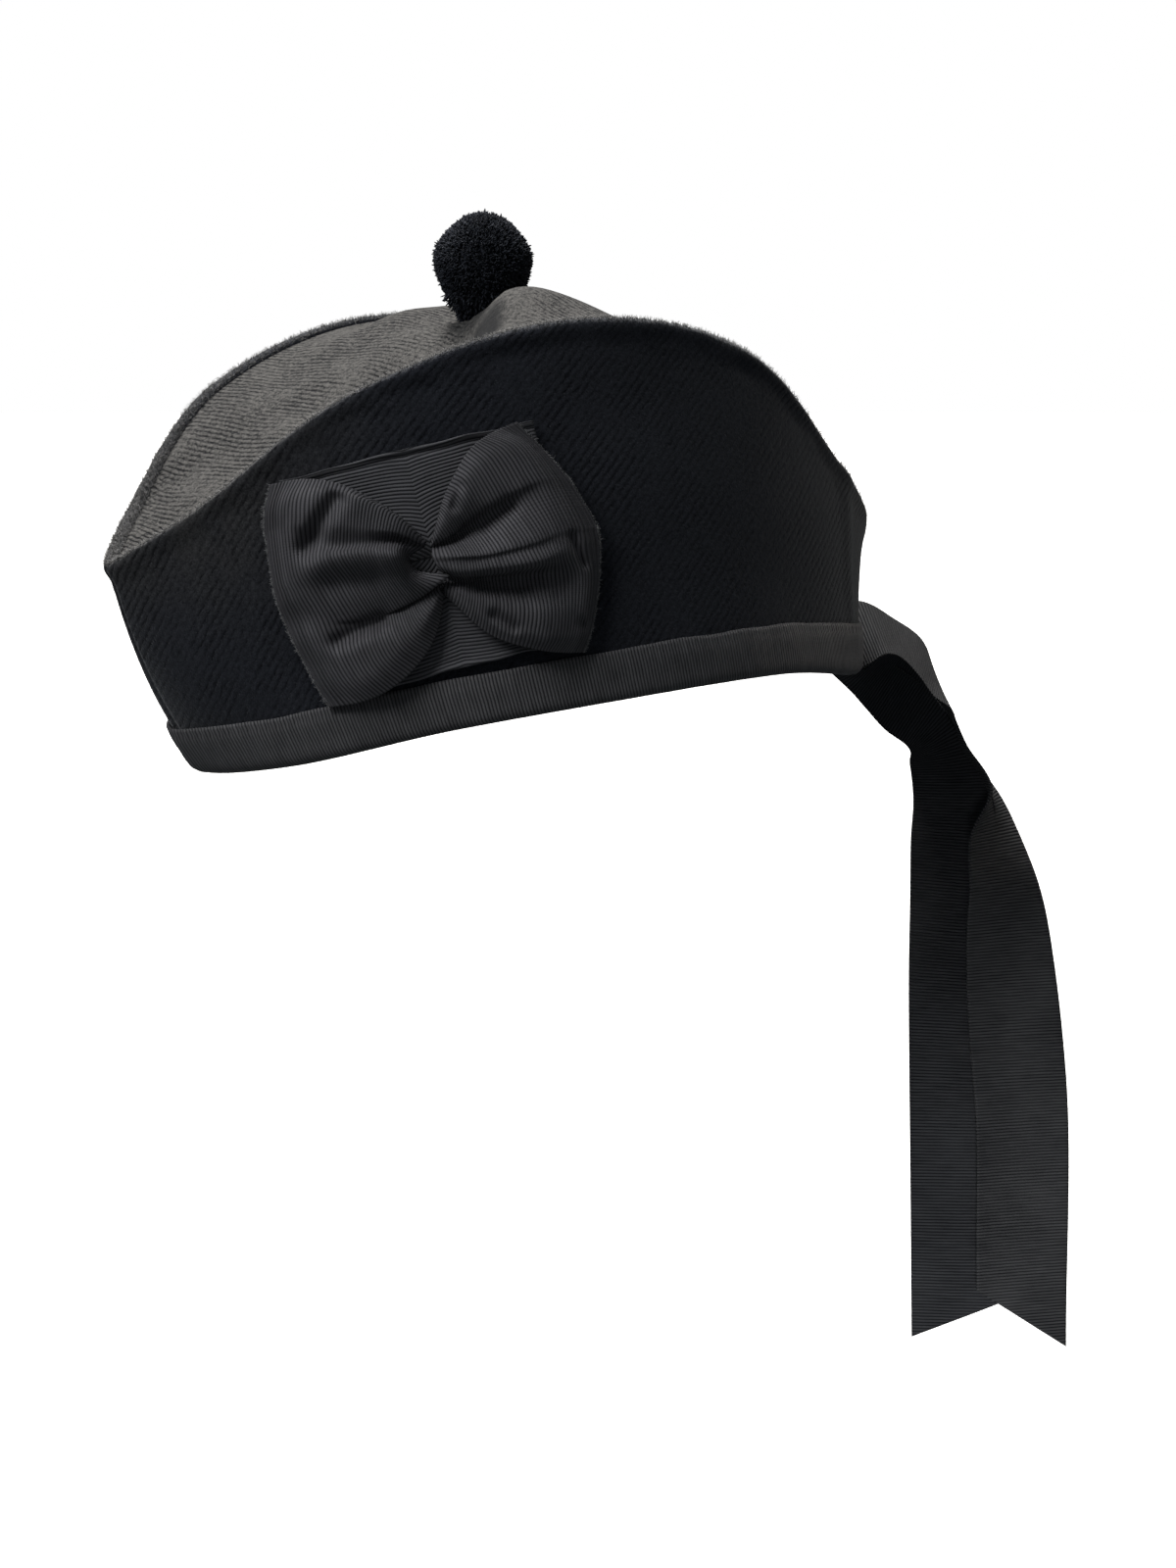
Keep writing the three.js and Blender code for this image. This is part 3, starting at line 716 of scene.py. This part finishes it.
def ground_shape():
    """A flat rectangle just off the wool: its hem stands up, a groove runs under the hem,
    and a shallow gather runs through its middle. Its ribs bend towards the pinch."""
    up = np.linspace(GROUND["low"], GROUND["high"], GROUND_ROWS)[:, None]
    across = np.linspace(GROUND["front"], GROUND["rear"], GROUND_COLUMNS)
    groove = hump(up - HEM["groove"], HEM["groove_width"]) * (0.6 + 0.4 * drift(across, 0 * up, 30, 15))
    hem = smooth(up, *HEM["top"]) - 1.3 * groove + smooth(-up, *HEM["foot"])
    gather = hump(across, GATHER["width"]) * np.exp(-np.abs(up) / GATHER["reach"])
    distance = 1.05 + 0.45 * hem - GATHER["depth"] * gather + 0.12 * drift(across, up, 18, 9)
    edge = 0.35 * drift(across, 0 * up, 17, 12) * np.abs(up / GROUND["high"]) ** 6
    face = on_side(across + 0 * up, up + edge + GROUND_SLANT * across, distance)
    chevron = CHEVRON["bend"] * np.exp(-np.abs(across + 1) / CHEVRON["width"])
    chevron = chevron * np.exp(-np.abs(up) / CHEVRON["reach"]) * np.sign(up)
    return carried(thick(face, GROUND_THICKNESS), both_sides(up + chevron, across))


bow_ground = make_piece("bow_ground", ground_shape(), ground_ribbon, "ribbon", "cockade_backing")

# ---- Bow -----------------------------------------------------------------
# A length of the same ribbon pinched in the middle, so that each half opens in a fan with
# a puffed band across it. Its raw ends are stitched down in close rows and have frayed.
STATIONS = (0, 0.1, 0.35, 0.6, 0.85, 1)  # shares of a lobe's length, from the pinch outwards
RIBBON_WIDTHS = (0, 7.5, 14.5, 21, 26.5, 35, 43, 45.5, 51.5, 57.5, 62)  # from the lower edge up
# Each row follows one thread from the pinch to the raw end: across, up and off the ground.
FRONT_LOBE = [
    [(-1.5, -10.5, 0.8), (-3.3, -15, 1.8), (-9.5, -24.5, 3),
     (-20, -31.3, 3.8), (-33, -34, 2.4), (-42.9, -33.6, 0.8)],
    [(-2, -9.5, 2), (-5, -13, 4), (-13, -20.5, 6),
     (-23.5, -25.5, 6.5), (-36, -27.5, 3.8), (-44.3, -26.5, 0.8)],
    [(-2, -8, 1.5), (-6, -10.8, 3), (-14, -15.5, 4.8),
     (-24.5, -18.5, 6.2), (-37.5, -20, 4.2), (-45.4, -19.5, 0.9)],
    [(-1, -6.5, 0.6), (-6, -8.3, 1), (-14, -10.6, 1.2),
     (-24, -13, 2.4), (-38, -13.5, 3.8), (-46, -13, 1)],
    [(1.5, -5.6, 4.5), (-4, -8.6, 4), (-14, -12, 3.3),
     (-24, -12.8, 3.4), (-38.2, -9, 3.6), (-46.2, -8.5, 1.2)],
    [(-6.4, -2.8, 1), (-8.6, -3.2, 5.6), (-16, -3, 6.2),
     (-26, -1.8, 5.8), (-38.8, -1.5, 4.4), (-45.6, -1.5, 1.2)],
    [(-6.4, 1.6, 1), (-8.8, 3.6, 7.6), (-17, 5.6, 8.8),
     (-27, 6.8, 7.8), (-38.5, 6.2, 4.6), (-44.4, 5, 1.2)],
    [(-3.5, 2.6, 0.5), (-7.6, 4.9, 2.8), (-16.3, 6.7, 6),
     (-26.3, 8.2, 5.6), (-37.3, 12, 4.2), (-43.1, 11.5, 1)],
    [(-3, 3.2, 1.6), (-6.4, 6.6, 4.6), (-14.8, 10.8, 7.1),
     (-23.8, 14, 7.2), (-36, 17.2, 4), (-42, 17, 0.9)],
    [(-2.6, 3.6, 2), (-4.8, 8.5, 4), (-12, 16.5, 6.8),
     (-21.5, 21.8, 6.8), (-33.5, 23.2, 3.6), (-39.6, 22.6, 0.9)],
    [(-1.8, 4, 1), (-3.9, 8, 2.8), (-10.2, 16.2, 4),
     (-20, 24.6, 4.4), (-30, 27.7, 2.4), (-36.7, 27.8, 0.8)],
]
REAR_LOBE = [
    [(-1.5, -10.5, 0.8), (1, -14.5, 1.8), (8, -24, 3),
     (18.5, -29.5, 3.8), (27.5, -32, 2.4), (33, -32.8, 0.8)],
    [(-1, -9, 2), (2, -12.8, 3.5), (9.5, -20, 5.5),
     (20.5, -25.5, 6), (31.5, -27.5, 3.2), (36.5, -27.5, 0.8)],
    [(-0.5, -8, 1.5), (3, -10.5, 3.5), (11, -15, 6),
     (22.5, -19.5, 6.6), (34, -21, 3.6), (39.8, -20.5, 0.8)],
    [(0.5, -6.5, 0.5), (4, -7.6, 0.8), (12, -8.8, 1.2),
     (24, -10, 2.2), (36.5, -12, 3.6), (42.8, -12.5, 1)],
    [(-0.5, -4, 4), (3, -5.6, 6.5), (12, -7.2, 8.2),
     (24.5, -7.4, 7.8), (35.5, -6.2, 5), (44.3, -6, 1.2)],
    [(-1.5, -1.5, 4.5), (3, -2, 7.5), (12, -3, 9),
     (24, -2.5, 8), (36, -1, 5), (44.6, -1, 1.2)],
    [(-1.5, 1, 3), (3, 0.8, 6), (12, 1, 7),
     (23.5, 3, 7), (35.5, 5, 4.8), (43.8, 4, 1.2)],
    [(-1, 2, 1), (3, 2.5, 1.6), (11, 5, 2),
     (21.5, 9, 4.5), (34, 11, 4.6), (41.5, 10.5, 1.2)],
    [(-0.8, 2.8, 1.5), (2.9, 4.4, 3.8), (10.2, 8.8, 5),
     (20.4, 13, 6.6), (32.5, 16.5, 4.6), (38.8, 16, 1)],
    [(-0.7, 3.4, 2), (2, 7, 4.5), (8, 15, 6.2),
     (17.5, 22.5, 6.4), (28.5, 26, 3.6), (34, 24.5, 0.9)],
    [(-0.7, 4, 1), (1.8, 8.5, 2.8), (6.5, 16.5, 4),
     (15, 26.5, 4.4), (23, 30.3, 2.4), (29.3, 31.8, 0.8)],
]
LOBE_LENGTH = 45.0
LOBE_STEPS, LOBE_COLUMNS = 96, 150
LOBE_OFF_WOOL = 1.75
LOBE_THICKNESS = 0.45
# Dents pressed into the puffs: from and to (across, up), how wide and how deep.
DENTS = [
    ((-21, 20), (-32.5, 9), 2.4, 3.4),
    ((-28, -1), (-19, -2.5), 3.4, 1.6),
    ((13, 5.5), (21, 9.5), 2.2, 1.8),
    ((36, -1), (38, -9), 1.2, 1.8),
    ((34, -25), (37, -31), 1.4, 1.8),
    ((7, 12), (9.5, 17), 1.5, 1.2),
    ((-20, -14.5), (-33, -17), 2.2, 2.6),
    ((9, -9.5), (20, -12), 2.2, 1.6),
    ((10, -19), (14, -23), 1.6, 1.6),
    ((-7, -2.2), (-8, 3), 1.3, 1.6),
]

bow_ribbon = grosgrain("bow_ribbon", 0.96, (0.0083, 0.0082, 0.0092), (0.13, 0.1235, 0.1305), hem=40.4)


def to_line(across, up, start, end):
    """Distance from points of the cockade to a straight line between two others."""
    way = np.subtract(end, start)
    share = np.clip(((across - start[0]) * way[0] + (up - start[1]) * way[1]) / (way @ way), 0, 1)
    return np.hypot(across - start[0] - share * way[0], up - start[1] - share * way[1])


def lobe_shape(threads, hand):
    """Half the bow: a smooth surface through the threads' stations, first along each thread
    and then across the ribbon, pushed in at the dents. hand is -1 for the front half. The
    outer face's grid comes with it."""
    share = np.linspace(0, 1, LOBE_STEPS)
    over = np.linspace(0, RIBBON_WIDTHS[-1], LOBE_COLUMNS)
    along = through(STATIONS, np.moveaxis(np.array(threads), 0, 1), share)
    grid = through(RIBBON_WIDTHS, np.moveaxis(along, 1, 0), over)
    across, up, rise = np.moveaxis(grid, -1, 0).transpose(0, 2, 1)
    for start, end, width, depth in DENTS:
        rise = rise - depth * hump(to_line(across, up, start, end), width) * smooth(rise, 1, 4)
    open_cloth = smooth(share, 0.05, 0.4)[:, None]
    rise = rise + 0.3 * open_cloth * drift(share[:, None] * LOBE_LENGTH, over, 13, 31 + hand)
    face = on_side(across, up, LOBE_OFF_WOOL + np.maximum(rise, 0.3))
    weave = both_sides(hand * LOBE_LENGTH * share[:, None], over)
    return carried(thick(face, LOBE_THICKNESS * hand), weave), face


front_half, front_face = lobe_shape(FRONT_LOBE, -1)
rear_half, rear_face = lobe_shape(REAR_LOBE, 1)
bow_shape = joined(faces_out(*front_half), faces_out(*rear_half))
bow = make_piece("bow", bow_shape, bow_ribbon, "ribbon", "cockade_bow")

FRAYED_THREADS = 900
FRAY_ROOT = 0.3  # how far inside the edge the threads start
fray = Finish("fray", Sheen_Weight=0.1, Specular_IOR_Level=0.1, Roughness=0.9)
fray_speck = fray.noise(1.2, 2.0)
frayed_ends = fray.done(fray_speck.tint((0.06, 0.059, 0.059), (0.34, 0.33, 0.33)), fray_speck, 0.1, 0.3)


def fray_shape(face, seed):
    """Loose ends of warp along a lobe's raw edge, pointing away from the bow's middle and
    leaning at random."""
    draw = np.random.default_rng(seed)
    place = draw.uniform(0, LOBE_COLUMNS - 1, FRAYED_THREADS)
    edge, within = (through(np.arange(LOBE_COLUMNS), face[row], place) for row in (-1, -5))
    way = (edge - within) / np.linalg.norm(edge - within, axis=1, keepdims=True)
    way = way + draw.normal(0, 0.45, edge.shape)
    length = draw.gamma(2.0, 0.18, FRAYED_THREADS) + 0.35
    radius = draw.uniform(0.05, 0.1, FRAYED_THREADS)
    return faces_out(*strands(edge - FRAY_ROOT * way, way, length, radius, HAIR_SIDES, HAIR_PROFILE))


both_frays = joined(fray_shape(front_face, 71), fray_shape(rear_face, 72))
bow_fray = make_piece("bow_fray", both_frays, frayed_ends, "ribbon")

# ---- Tails ---------------------------------------------------------------
# Two grosgrain ribbons that carry on from the binding's ends and hang straight down. The
# upper one comes down behind the lower one, then turns in front of it. Cut at a slant.
TAIL_WIDTH = 30.0
# Rows: the ribbon's middle (x, y, z), and which way its width points, as the turn from +Y
# towards +X and the rise above level, in degrees.
TAIL_LOWER = [
    (12.8, 99.5, 8.3, 99, 5), (11.8, 106.4, 7.4, 98, 24), (9.5, 113, 4.2, 96, 34), (8.8, 120, -2, 96, 36),
    (10, 127.4, -9.6, 100, 28), (5.5, 135.8, -21, 82, 8), (6, 139.5, -32, 67, 3), (7, 139, -45, 62, 0),
    (10.5, 137.5, -69, 60, 0), (18, 135.5, -127, 35, 0), (19, 136, -192, 32, 0),
]
TAIL_UPPER = [
    (-0.5, 104, 17, 97, -36), (4.5, 113, 18.3, 103, -34), (7, 121, 13.8, 108, -31), (8.5, 129, 7.2, 112, -30),
    (10, 132.6, 1.5, 109, -20), (11, 133.5, -5.5, 109, -6), (12, 137, -14, 110, 0), (20, 144.5, -27, 120, 0),
    (24, 142.9, -41, 149, 0), (28, 144, -56, 164, 0), (29, 144.9, -69, 175, 0), (29.5, 147.7, -100, 186, 0),
    (30.5, 149.4, -127, 186, 0), (30.5, 149.7, -195, 184, 0),
]
CREASE_RISE, CREASE_REACH = 0.5, 5.0
TAIL_CUP = 0.5
TAIL_WAVES = {"rise": 0.5, "reach": 55.0}
TAIL_STEPS, TAIL_COLUMNS = 330, 34

# The same ribbon for both tails, painted darker near the root: painted shade. The upper one is painted paler
# than the lower: painted light, where it hangs in front.
lower_silk = grosgrain("lower_silk", 0.92, (0.004, 0.0045, 0.0056), (0.043, 0.0442, 0.048),
                       gloss=0.03, mottle=0.8, painted_root_shade=(20, 150))
upper_silk_painted_paler = grosgrain("upper_silk_painted_paler", 0.92, (0.004, 0.0045, 0.0056), (0.06, 0.0605, 0.063),
                       gloss=0.03, mottle=0.8, painted_root_shade=(20, 150))


def tail_shape(rows, short_edge, crease, seed):
    """A ribbon along a smooth curve through its rows, cut so that one edge is that share of
    the other's length, slightly cupped across, with a sharp crease along a slanted line and
    soft waves. The curve's knots lie as far apart as the square root of the rows' steps."""
    rows = np.array(rows, float)
    middle, turn, rise = rows[:, :3], np.radians(rows[:, 3]), np.radians(rows[:, 4])
    width = np.stack([np.sin(turn) * np.cos(rise), np.cos(turn) * np.cos(rise), np.sin(rise)], -1)
    knots = np.concatenate([[0], np.cumsum(np.linalg.norm(np.diff(middle, axis=0), axis=1) ** 0.5)])
    fine = np.linspace(0, knots[-1], 2000)
    line = through(knots, middle, fine)
    lengths = run_of(line)
    column = np.linspace(0, 1, TAIL_COLUMNS)
    share = np.linspace(0, 1, TAIL_STEPS)[:, None] * (1 + (short_edge - 1) * column)
    down = share * lengths[-1]
    at = np.interp(down, lengths, fine)
    sideways = through(knots, width, at)
    sideways /= np.linalg.norm(sideways, axis=-1, keepdims=True)
    tangent = through(knots, middle, at + 0.01) - through(knots, middle, at - 0.01)
    square = np.cross(tangent, sideways)
    square /= np.linalg.norm(square, axis=-1, keepdims=True)
    over = TAIL_WIDTH * (column - 0.5)
    from_crease = down - crease["at"] - crease["slant"] * over
    bend = CREASE_RISE * np.exp(-np.abs(from_crease) / CREASE_REACH)
    cup = TAIL_CUP * (1 - (2 * column - 1) ** 2) * smooth(down, 20, 60)
    waves = TAIL_WAVES["rise"] * drift(down, over, TAIL_WAVES["reach"], seed) * smooth(down, 8, 50)
    offset = RIBBON / 2 + bend + cup + waves
    face = through(knots, middle, at) + sideways * over[:, None] + square * offset[..., None]
    return carried(thick(face, RIBBON), both_sides(down, over + 0 * down))


lower_shape = tail_shape(TAIL_LOWER, 0.945, {"at": 36, "slant": -0.5}, seed=42)
tail_lower = make_piece("tail_lower", lower_shape, lower_silk, "ribbon", "tail_left", "tail_right")
upper_shape = tail_shape(TAIL_UPPER, 0.92, {"at": 68, "slant": 0.5}, seed=41)
tail_upper = make_piece("tail_upper", upper_shape, upper_silk_painted_paler, "ribbon", "tail_left", "tail_right")

# ---- Floor, light and camera ---------------------------------------------
# A plain white floor inside a white dome, both seen only by the camera, so that no glare
# from them greys the black cloth. A broad sun stands overhead, with softer lights before
# the nose, above the left side and behind the rear seam, and a low one for the tails.
FLOOR_HEIGHT = -0.27  # metres, as all of this section
STAGE_REACH = 12.0
STAGE_SIDES, DOME_ROWS = 64, 16


def stage_piece(name, points, faces, colour, glow):
    """A plain surface with its colour and glow. It is seen and takes shadows, but lights
    nothing."""
    paint = Finish(name + "_paint", Roughness=0.9, Specular_IOR_Level=0.0, Emission_Strength=glow)
    paint.shader.inputs["Emission Color"].default_value = (1, 1, 1, 1)
    mottle = paint.noise(600, 2.0)
    mesh = bpy.data.meshes.new(name)
    mesh.from_pydata(points, [], faces)
    mesh.materials.append(paint.done(mottle.tint(colour, colour), mottle, 0.1, 0.05))
    made = bpy.data.objects.new(name, mesh)
    bpy.context.scene.collection.objects.link(made)
    made.visible_diffuse = made.visible_glossy = made.visible_shadow = False


bearing = np.linspace(0, 2 * np.pi, STAGE_SIDES + 1)[:-1]
rim_points = STAGE_REACH * np.stack([np.cos(bearing), np.sin(bearing), 0 * bearing], 1)
rim_points[:, 2] = FLOOR_HEIGHT
stage_piece("floor", rim_points.tolist(), [tuple(range(STAGE_SIDES))], (0.87, 0.87, 0.87), 0.0)
level = np.radians(np.linspace(-4, 86, DOME_ROWS))[:, None]
dome_points = STAGE_REACH * np.stack(np.broadcast_arrays(
    np.cos(level) * np.cos(bearing), np.cos(level) * np.sin(bearing), np.sin(level)), -1)
below_lid = (DOME_ROWS - 1) * STAGE_SIDES
dome_faces = ringed(DOME_ROWS, STAGE_SIDES)[:below_lid].tolist()
dome_faces.append(tuple(range(below_lid, below_lid + STAGE_SIDES)))
stage_piece("dome", dome_points.reshape(-1, 3).tolist(), dome_faces, (0, 0, 0), 1.0)

sky = bpy.data.worlds.new("sky")
bpy.context.scene.world = sky
sky.use_nodes = True
background = sky.node_tree.nodes["Background"]
background.inputs["Color"].default_value = (0.86, 0.94, 1, 1)
background.inputs["Strength"].default_value = 0.11


def light(name, kind, place, aim, power, **settings):
    """A light turned from its place towards its aim. Its power is in watts, or for the sun
    in watts for each square metre."""
    lamp = bpy.data.lights.new(name, kind)
    lamp.energy = power
    for key, value in settings.items():
        setattr(lamp, key, value)
    made = bpy.data.objects.new(name, lamp)
    bpy.context.scene.collection.objects.link(made)
    made.location = place
    made.visible_camera = False
    made.rotation_euler = (Vector(aim) - Vector(place)).to_track_quat("-Z", "Y").to_euler()


COOL, NEUTRAL, WARM = (0.94, 0.97, 1.0), (1.0, 0.98, 0.955), (1.0, 0.93, 0.85)
light("overhead", "SUN", (-0.5, 0.05, 1.0), (0, 0, 0), 8.3, angle=np.radians(18), color=NEUTRAL)
light("front", "AREA", (0.3, -1.2, 1.1), (0, 0, 0.03), 12, size=0.6, color=COOL)
light("near", "AREA", (0.14, -0.3, 0.65), (0.05, -0.05, 0.05), 0.85, size=0.15, color=COOL)
light("rear", "AREA", (-0.5, 1.6, 0.6), (0, 0, 0.03), 4, size=0.5, color=WARM)
light("low", "SPOT", (1.0, -0.45, -0.3), (0.02, 0.145, -0.21), 52, spot_size=np.radians(18), spot_blend=1.0,
      shadow_soft_size=0.1)

EYE, LOOK_AT = Vector((1.4293, -0.7076, 0.1317)), Vector((0.01023, 0.01547, -0.0217))
lens = bpy.data.cameras.new("camera")
lens.sensor_fit, lens.sensor_height, lens.lens = "VERTICAL", 24, 85.44
camera = bpy.data.objects.new("camera", lens)
bpy.context.scene.collection.objects.link(camera)
camera.location = EYE
camera.rotation_euler = (LOOK_AT - EYE).to_track_quat("-Z", "Y").to_euler()
bpy.context.scene.camera = camera
bpy.context.scene.view_settings.view_transform = "Standard"
